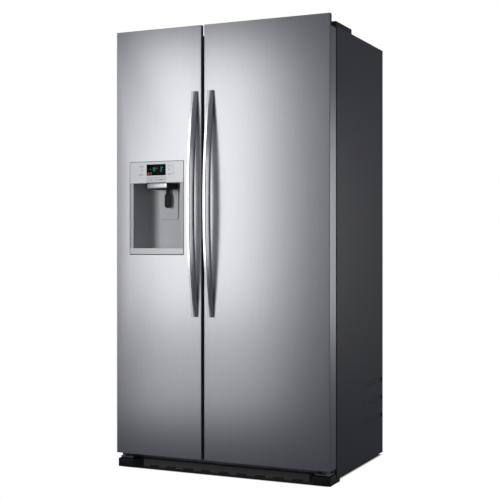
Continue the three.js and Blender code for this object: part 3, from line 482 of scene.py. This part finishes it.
def dispenser_lever():
    """The lever: a long pad with a rim and a dimpled face, on a stem with a pivot barrel."""
    low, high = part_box("dispenser_lever")
    middle, bottom, top = (low.x + high.x) / 2, low.z, low.z + LEVER_PAD_HEIGHT
    mesh = bmesh.new()

    def outline(inset):
        return rounded_ring((middle - LEVER_PAD_HALF + inset, bottom + inset),
                            (middle + LEVER_PAD_HALF - inset, top - inset), LEVER_PAD_RADIUS - inset, 8)

    slab(mesh, (middle - LEVER_PAD_HALF, low.y + 1.4 * MM, bottom),
         (middle + LEVER_PAD_HALF, high.y - 1 * MM, top), LEVER_PAD_RADIUS, "y", 8)
    face = low.y + 1.5 * MM
    rim = ((0, face), (0, low.y), (LEVER_RIM, low.y), (LEVER_RIM, face))
    loft(mesh, [[(x, y, z) for x, z in outline(inset)] for inset, y in rim], closed=True)
    slab(mesh, (middle - LEVER_STEM_HALF, low.y + 2.5 * MM, top - 6 * MM),
         (middle + LEVER_STEM_HALF, high.y - 1 * MM, high.z - 5 * MM), 2 * MM, "y")
    pivot = (low.x, (low.y + high.y) / 2 + 0.6 * MM, high.z - 4.5 * MM)
    length, barrel = high.x - low.x, 3.9 * MM
    profile = [(barrel * 0.8, 0), (barrel, 1 * MM), (barrel, length - 1 * MM), (barrel * 0.8, length)]
    turned(mesh, profile, pivot, (1, 0, 0), 20)
    add_piece("lever_pad", mesh, "dispenser_lever", "black_plastic", ["dispenser_lever"],
              0.5 * MM)
    dimples = bmesh.new()
    for row in range(DIMPLE_ROWS):
        stagger = DIMPLE_STAGGER if row % 2 else -DIMPLE_STAGGER
        for column in range(DIMPLE_COLUMNS):
            x = middle + (column - 1) * DIMPLE_PITCH + stagger
            z = bottom + 11 * MM + row * DIMPLE_ROW_PITCH
            turned(dimples, DIMPLE_SHAPE, (x, low.y + 1.6 * MM, z), (0, -1, 0), 10)
    add_piece("lever_dimples", dimples, "dispenser_lever", "lever_grip")


def dispenser_shadow_line():
    """A thin dark ring between the dispenser's frame and the door's steel: a painted shadow line standing in
    for the shade in the seam between them.
    """
    low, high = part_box("dispenser_housing")
    # How far each edge lies outside the frame, and the radius of its corners.
    outside, inside = (2.2 * MM, 2.4 * MM), (-0.2 * MM, 0.6 * MM)
    front, back = DOOR_FRONT - 0.35 * MM, DOOR_FRONT + 0.6 * MM

    def ring(by, radius, y):
        outline = rounded_ring((low.x - by, low.z - by), (high.x + by, high.z + by), radius, 3)
        return [(x, y, z) for x, z in outline]

    mesh = loft(bmesh.new(), [ring(*outside, front), ring(*inside, front), ring(*inside, back),
                              ring(*outside, back)], closed=True)
    add_piece("dispenser_shadow_line", mesh, DISPENSER_BODY, "shadow_line_grey")


# The seven bars of a digit: two corners in digit widths and heights, and the characters that light it.
SEGMENTS = (
    ((0.12, 0.92), (0.88, 1.0), "02356789"),
    ((0.12, 0.46), (0.88, 0.54), "2345689-"),
    ((0.12, 0.0), (0.88, 0.08), "0235689"),
    ((0.0, 0.54), (0.14, 0.96), "045689"),
    ((0.86, 0.54), (1.0, 0.96), "01234789"),
    ((0.0, 0.04), (0.14, 0.46), "0268"),
    ((0.86, 0.04), (1.0, 0.46), "013456789"),
)
DIGIT_PITCH = 1.45
LIT_DEPTH = 0.3 * MM


def lit_text(mesh, text, left, bottom, width, height, front):
    """Adds seven-bar digits to a mesh, from left to right."""
    for i, character in enumerate(text):
        start = left + i * width * DIGIT_PITCH
        for (u0, v0), (u1, v1), lit_by in SEGMENTS:
            if character in lit_by:
                slab(mesh, (start + u0 * width, front, bottom + v0 * height),
                     (start + u1 * width, front + LIT_DEPTH, bottom + v1 * height), 0.2 * MM, "y", 1)


def display_lights():
    """Set temperatures and small lamps on the display's window."""
    low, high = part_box("display_window")
    wide, tall, front = high.x - low.x, high.z - low.z, low.y - 0.25 * MM

    def lamp(name, u, v, size, material):
        x, z = low.x + u * wide, low.z + v * tall
        half_width, half_height = size[0] / 2, size[1] / 2
        mesh = slab(bmesh.new(), (x - half_width, front, z - half_height),
                    (x + half_width, front + LIT_DEPTH, z + half_height), min(size) * 0.3, "y", 3)
        add_piece(name, mesh, DISPENSER_BODY, material)

    digits = bmesh.new()
    lit_text(digits, "-18", low.x + 0.17 * wide, low.z + 0.40 * tall, 6.0 * MM, 14.0 * MM, front)
    lit_text(digits, "3", low.x + 0.70 * wide, low.z + 0.36 * tall, 8.0 * MM, 17.0 * MM, front)
    add_piece("display_digits", digits, DISPENSER_BODY, "teal_light")
    lamp("display_red_lamp", 0.10, 0.18, (8 * MM, 8 * MM), "red_light")
    lamp("display_centre_lamp", 0.51, 0.62, (4 * MM, 3 * MM), "red_light")
    lamp("display_green_lamp", 0.23, 0.20, (2.5 * MM, 9 * MM), "green_light")
    lamp("display_degree_left", 0.56, 0.66, (2 * MM, 2 * MM), "teal_light")
    lamp("display_degree_right", 0.83, 0.70, (2.4 * MM, 2.4 * MM), "teal_light")


def print_bars(name, bars, body, front):
    """Flat printed marks, 0.15 mm thick: each is (middle x, middle z, width, height)."""
    mesh = bmesh.new()
    for x, z, width, height in bars:
        slab(mesh, (x - width / 2, front - 0.15 * MM, z - height / 2),
             (x + width / 2, front + 0.05 * MM, z + height / 2), min(width, height) * 0.45, "y", 3)
    add_piece(name, mesh, body, "print_grey")


KEY_MARKS = {
    "water_key": ((5 * MM, 5 * MM),),
    "ice_key": ((6 * MM, 3.4 * MM), (14 * MM, 1.6 * MM)),
}


def touch_spot(x, z):
    """Three short bars, like a line of print over another."""
    return [(x - 6 * MM, z, 9 * MM, 1.5 * MM), (x + 6 * MM, z, 10 * MM, 1.5 * MM),
            (x, z - 3.6 * MM, 17 * MM, 1.2 * MM)]


def touch_marks():
    """Wordless marks for the touch spots on both sides of the display, and on the two keys."""
    screen_low, screen_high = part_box("display_window")
    upper, lower = screen_high.z - 5.5 * MM, screen_low.z + 5.5 * MM
    middle = (upper + lower) / 2
    bars = []
    for x, icon_x in ((screen_low.x - 24 * MM, screen_low.x - 20 * MM),
                      (screen_high.x + 19 * MM, screen_high.x + 15 * MM)):
        bars += touch_spot(x, upper)
        bars += [(icon_x, middle, 6 * MM, 4 * MM), (icon_x, middle + 4.4 * MM, 3 * MM, 1.2 * MM)]
        bars += touch_spot(x, lower)
    edge = screen_high.x + 35 * MM
    bars.append((edge, middle, 0.8 * MM, upper - lower))
    bars += [(edge - 2 * MM, z, 4 * MM, 0.8 * MM) for z in (upper, lower)]
    print_bars("panel_marks", bars, DISPENSER_BODY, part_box("control_panel")[0].y)
    for key, sizes in KEY_MARKS.items():
        low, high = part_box(key)
        x, z = (low.x + high.x) / 2, (low.z + high.z) / 2
        print_bars(f"{key}_mark", [(x, z, *size) for size in sizes], key, low.y)


# ---- Screws and small hardware ----
SCREW_INSET = 12 * MM
BACKWARDS, FORWARDS, UPWARDS = (0, 1, 0), (0, -1, 0), (0, 0, 1)


def screws(name, places, axis, radius, material="zinc_steel"):
    """One piece of equal screws on the cabinet, all facing one way."""
    mesh = bmesh.new()
    for place in places:
        cap_screw(mesh, place, axis, radius)
    add_piece(name, mesh, "cabinet", material)


def evenly(start, end, count):
    """Places from one end to the other, both set in by a screw's distance from an edge."""
    start, end = start + SCREW_INSET, end - SCREW_INSET
    return [start + i * (end - start) / (count - 1) for i in range(count)]


def hardware():
    """Screws in the back panel, the machine compartment's cover, the lower hinges and the hinge covers."""
    low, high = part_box("back_panel")
    columns, rows = evenly(low.x, high.x, 6), evenly(low.z, high.z, 7)
    sheet = high.y - 3 * MM
    places = [(x, sheet, z) for x in (columns[0], columns[-1]) for z in rows]
    places += [(x, sheet, z) for x in columns[1:-1] for z in (rows[0], rows[-1])]
    screws("back_panel_screws", places, BACKWARDS, 3.2 * MM)
    low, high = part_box("machine_cover")
    places = [(low.x + share * (high.x - low.x), high.y, z)
              for share in (0.02, 0.26, 0.5, 0.74, 0.98) for z in (high.z - SCREW_INSET, low.z + SCREW_INSET)]
    screws("machine_cover_screws", places, BACKWARDS, 3.4 * MM)
    for side, sign in (("left", -1), ("right", 1)):
        low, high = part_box(f"lower_hinge_{side}")
        places = [(x, high.y - 3.2 * MM, low.z + 25 * MM) for x in (low.x + SCREW_INSET, low.x + 30 * MM)]
        screws(f"lower_hinge_screws_{side}", places, FORWARDS, 4.2 * MM)
        low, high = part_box(f"hinge_cover_{side}")
        place = ((low.x + high.x) / 2 - sign * 30 * MM, high.y - 34 * MM, high.z)
        screws(f"hinge_cover_screw_{side}", [place], UPWARDS, 4.0 * MM, "black_plastic")


# ---- Inside ----
def shelf_trim(name, low, high):
    """A moulded rail along the front edge of a shelf."""
    mesh = slab(bmesh.new(), (low.x, low.y - 1.5 * MM, low.z - 1 * MM), (high.x, low.y + 3 * MM, high.z),
                1.4 * MM, "x")
    add_piece(f"{name}_trim", mesh, "cabinet", "liner_plastic")


def shelf_trims():
    """Front rails on the glass shelves, and the middle shelves of the full set."""
    for node in (*SHELVES, "crisper_cover"):
        low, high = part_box(node)
        shelf_trim(node, low, high + Vector((0, 0, 1 * MM)))
    for room in ("freezer", "fridge"):
        low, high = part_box(f"{room}_shelf_upper")
        low.z = (low.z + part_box(f"{room}_shelf_lower")[0].z) / 2
        plate = slab(bmesh.new(), (low.x, low.y + 2 * MM, low.z), (high.x, high.y, low.z + 6 * MM), 2 * MM,
                     "z")
        add_piece(f"{room}_shelf_middle", plate, "cabinet", "glass")
        shelf_trim(f"{room}_shelf_middle", low, Vector((high.x, high.y, low.z + 12 * MM)))


def middle_bin():
    """The door bin of the full set between the fridge door's upper and lower bins: an open tub."""
    low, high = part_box("fridge_bin_upper")
    bottom = (low.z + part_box("fridge_bin_lower")[0].z) / 2
    top = bottom + high.z - low.z
    wall = 2.5 * MM

    def ring(inset, z):
        outline = rounded_ring((low.x + inset, low.y + inset), (high.x - inset, high.y - inset), 8 * MM)
        return [(x, y, z) for x, y in outline]

    mesh = loft(bmesh.new(), [ring(0, bottom), ring(0, top), ring(wall, top), ring(wall, bottom + wall)])
    add_piece("fridge_bin_middle", mesh, "fridge_door", "clear_plastic")


def room_lamps():
    """A ceiling lamp in each room."""
    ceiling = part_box("evaporator_cover")[1].z + 2.5 * MM
    for room in ("freezer", "fridge"):
        low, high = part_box(f"{room}_shelf_upper")
        middle, half = (low.x + high.x) / 2, (high.x - low.x) * 0.3
        mesh = slab(bmesh.new(), (middle - half, low.y + 10 * MM, ceiling - 7 * MM),
                    (middle + half, low.y + 42 * MM, ceiling), 3 * MM, "z")
        add_piece(f"{room}_lamp", mesh, "cabinet", "lamp_white", (), 1 * MM)


# ---- Stage, light and camera ----
def area_light(name, place, target, size, power, only_for=()):
    """A rectangle of light, unseen by the camera. It may light a few pieces only."""
    data = bpy.data.lights.new(name, "AREA")
    data.shape = "RECTANGLE"
    data.size, data.size_y = size
    data.energy = power
    light = bpy.data.objects.new(name, data)
    bpy.context.scene.collection.objects.link(light)
    light.location = place
    light.rotation_euler = (Vector(target) - Vector(place)).to_track_quat("-Z", "Y").to_euler()
    light.visible_camera = False
    if only_for:
        receivers = bpy.data.collections.new(f"{name}_receivers")
        for piece in only_for:
            receivers.objects.link(bpy.data.objects[piece])
        light.light_linking.receiver_collection = receivers


# How far up a ray points, from -1 to 1, where the dark floor side ends and where the sky begins.
HORIZON = (-0.35, 0.05)


def studio_world():
    """White to the camera; a soft upper sky and a dark floor side in reflections and fill light."""
    world = bpy.data.worlds.new("studio")
    world.use_nodes = True
    bpy.context.scene.world = world
    nodes, links = world.node_tree.nodes, world.node_tree.links
    nodes.clear()
    place = nodes.new("ShaderNodeTexCoord")
    split = nodes.new("ShaderNodeSeparateXYZ")
    height = nodes.new("ShaderNodeMapRange")
    height.inputs["From Min"].default_value, height.inputs["From Max"].default_value = HORIZON
    ramp = nodes.new("ShaderNodeValToRGB")
    ramp.color_ramp.elements[0].color = (*grey(0.05, 0.2), 1)
    ramp.color_ramp.elements[1].color = (*grey(0.13, 0.2), 1)
    sky, white = nodes.new("ShaderNodeBackground"), nodes.new("ShaderNodeBackground")
    path = nodes.new("ShaderNodeLightPath")
    mix = nodes.new("ShaderNodeMixShader")
    out = nodes.new("ShaderNodeOutputWorld")
    links.new(place.outputs["Generated"], split.inputs["Vector"])
    links.new(split.outputs["Z"], height.inputs["Value"])
    links.new(height.outputs["Result"], ramp.inputs["Fac"])
    links.new(ramp.outputs["Color"], sky.inputs["Color"])
    links.new(path.outputs["Is Camera Ray"], mix.inputs["Fac"])
    links.new(sky.outputs["Background"], mix.inputs[1])
    links.new(white.outputs["Background"], mix.inputs[2])
    links.new(mix.outputs["Shader"], out.inputs["Surface"])
    white.inputs["Color"].default_value = (1, 1, 1, 1)


# The floor's painted shadow under the appliance: half its width and depth, and how far behind the origin its
# middle lies.
SHADE_HALF_WIDTH, SHADE_HALF_DEPTH, SHADE_MIDDLE = 0.44, 0.34, 0.051
FLOOR_HALF = 30
FLOOR_DROP = 0.5 * MM


def pale_floor():
    """A floor as white as the background, with a painted shadow right under the appliance."""
    mesh = bmesh.new()
    bmesh.ops.create_grid(mesh, x_segments=2, y_segments=2, size=FLOOR_HALF)
    data = bpy.data.meshes.new("floor")
    mesh.to_mesh(data)
    mesh.free()
    floor = bpy.data.objects.new("floor", data)
    bpy.context.scene.collection.objects.link(floor)
    material = bpy.data.materials.new("floor_white_with_painted_shadow")
    material.use_nodes = True
    nodes, links = material.node_tree.nodes, material.node_tree.links
    nodes.clear()
    place, mapping = nodes.new("ShaderNodeTexCoord"), nodes.new("ShaderNodeMapping")
    mapping.inputs["Location"].default_value = (0, -SHADE_MIDDLE / SHADE_HALF_DEPTH, 0)
    mapping.inputs["Scale"].default_value = (1 / SHADE_HALF_WIDTH, 1 / SHADE_HALF_DEPTH, 0)
    box_distance = nodes.new("ShaderNodeVectorMath")
    box_distance.operation = "ABSOLUTE"
    parts = nodes.new("ShaderNodeSeparateXYZ")
    larger = nodes.new("ShaderNodeMath")
    larger.operation = "MAXIMUM"
    ramp = nodes.new("ShaderNodeValToRGB")
    # Painted shadow: near black inside the appliance's footprint, white outside it.
    ramp.color_ramp.elements[0].position = 0.97
    ramp.color_ramp.elements[0].color = (*grey(0.01), 1)
    ramp.color_ramp.elements[1].position = 1.0
    ramp.color_ramp.elements[1].color = (*grey(1.0), 1)
    glow, out = nodes.new("ShaderNodeEmission"), nodes.new("ShaderNodeOutputMaterial")
    links.new(place.outputs["Object"], mapping.inputs["Vector"])
    links.new(mapping.outputs["Vector"], box_distance.inputs[0])
    links.new(box_distance.outputs["Vector"], parts.inputs["Vector"])
    links.new(parts.outputs["X"], larger.inputs[0])
    links.new(parts.outputs["Y"], larger.inputs[1])
    links.new(larger.outputs["Value"], ramp.inputs["Fac"])
    links.new(ramp.outputs["Color"], glow.inputs["Color"])
    links.new(glow.outputs["Emission"], out.inputs["Surface"])
    data.materials.append(material)
    floor.location.z = -FLOOR_DROP
    floor.visible_glossy = False
    floor.visible_diffuse = False
    floor.visible_shadow = False


CAMERA_PLACE = (1.8141, -3.9746, 0.8863)
CAMERA_TURN = math.radians(24.584)
CAMERA_LENS = 77.08
CAMERA_SHIFT = -0.0095


def studio_camera():
    """A level camera at the photograph's viewing angle."""
    data = bpy.data.cameras.new("camera")
    data.sensor_width = 36
    data.lens = CAMERA_LENS
    data.shift_y = CAMERA_SHIFT
    data.clip_end = 100
    camera = bpy.data.objects.new("camera", data)
    bpy.context.scene.collection.objects.link(camera)
    camera.location = CAMERA_PLACE
    camera.rotation_euler = (math.radians(90), 0, CAMERA_TURN)
    bpy.context.scene.camera = camera


DOOR_SKINS = ("freezer_door_skin", "fridge_door_skin")
HANDLES = ("freezer_door_bar_handle", "fridge_door_bar_handle")
DISPENSER_TRIMS = ("control_panel", "water_key", "ice_key", "drip_tray", "nozzle_hood")
# A softbox brightest in its middle, in layers of one radiance: the width, bottom and top of each.
SOFTBOX_LAYERS = ((0.78, 0.06, 1.86), (0.56, 0.50, 1.56), (0.42, 0.72, 1.44), (0.32, 0.84, 1.36))
SOFTBOX_RADIANCE = 0.8


def door_softbox():
    """What the doors' steel reflects: the bright upright band in the middle of the appliance."""
    for i, (width, low, high) in enumerate(SOFTBOX_LAYERS):
        middle, power = (low + high) / 2, SOFTBOX_RADIANCE * math.pi * width * (high - low)
        area_light(f"door_softbox_{i}", (-0.52, -1.2, middle), (0.0, DOOR_FRONT, middle), (width, high - low),
                   power, DOOR_SKINS)


def studio_lights():
    """Three soft lights for the whole, and lights that lift one group of pieces each."""
    area_light("room_softbox", (-0.92, -1.9, 1.24), (-0.05, DOOR_FRONT, 1.15), (0.5, 1.5), 6)
    area_light("top_fill", (0.6, -0.6, 3.4), (0, 0, 0.9), (2.0, 2.0), 12)
    area_light("side_fill", (2.2, 1.5, 0.95), (0.45, 0.15, 0.9), (0.8, 1.2), 11)
    door_softbox()
    area_light("handle_strip", (-0.95, -1.9, 1.05), (-0.05, DOOR_FRONT, 1.05), (0.5, 3.4), 4.6, HANDLES)
    area_light("handle_fill", (1.9, -4.5, 1.1), (0, DOOR_FRONT, 1.0), (2.0, 2.6), 16, HANDLES)
    area_light("recess_fill", (1.6, -2.8, 0.9), (-0.3, DOOR_FRONT, 1.0), (1.0, 1.2), 16,
               ("dispenser_housing", "ice_chute"))
    area_light("recess_key", (-1.2, -2.4, 1.2), (-0.25, DOOR_FRONT, 1.0), (0.6, 0.8), 15,
               ("dispenser_housing",))
    area_light("trim_fill", (0.4, -2.6, 1.9), (-0.3, DOOR_FRONT, 1.0), (1.0, 1.0), 52, DISPENSER_TRIMS)


# ---- Everything ----
metals()
dark_plastics()
light_plastics()
lit_materials()
studio_camera()
studio_world()
pale_floor()
dress_cad_nodes()
for door in ("freezer", "fridge"):
    bowed_handle(f"{door}_handle", f"{door}_door")
    bellows_gasket(f"{door}_gasket", f"{door}_door")
nozzle_cover()
ice_chute()
dispenser_lever()
dispenser_shadow_line()
display_lights()
touch_marks()
hardware()
shelf_trims()
middle_bin()
room_lamps()
studio_lights()

bpy.context.scene.view_settings.view_transform = "Standard"
